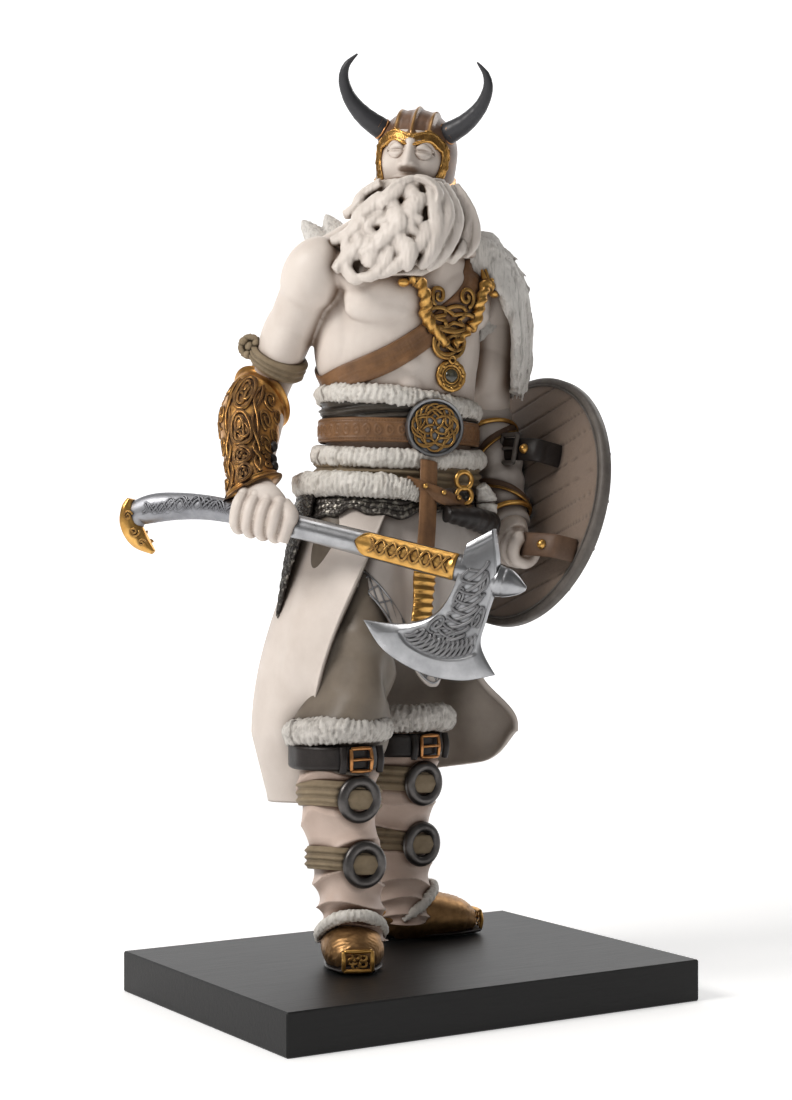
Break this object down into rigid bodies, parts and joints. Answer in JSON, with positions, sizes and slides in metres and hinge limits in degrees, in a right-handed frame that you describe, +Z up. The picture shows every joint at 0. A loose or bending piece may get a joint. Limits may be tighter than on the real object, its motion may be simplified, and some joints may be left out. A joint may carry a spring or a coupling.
{
  "type": "odin statue",
  "caption": "Standing bearded warrior in a horned helmet with a fur-trimmed coat, a long axe in the right fist and a round shield on the left arm, on a low rectangular plinth.",
  "frame": {"origin": "centre of the plinth's underside, on the surface that it stands on", "axes": "+Z up, +X towards the figure's left hand along the plinth's long side, -Y the way the figure's chest faces"},
  "size_m": [0.4006, 0.2801, 0.7516],
  "materials": {
    "plinth": "black satin lacquer",
    "figure": "matte cream porcelain",
    "axe": "silver lustre with dark relief",
    "shield": "matte brown planks",
    "gold": "polished gold lustre over dark relief",
    "copper": "bronze lustre with dark crevices",
    "leather": "satin tooled leather, brown",
    "dark_leather": "semi-gloss black",
    "cord": "matte olive tan",
    "fur": "matte white with grey hair lines",
    "boot": "matte pinkish cream",
    "trouser": "matte taupe",
    "horn": "matte dark grey",
    "dark_metal": "dark silver, worn edges",
    "jewel": "polished dark stone"
  },
  "bodies": {
    "root": {"plinth": "plinth", "figure": "figure", "axe": "axe", "shield": "shield"}
  },
  "joints": []
}
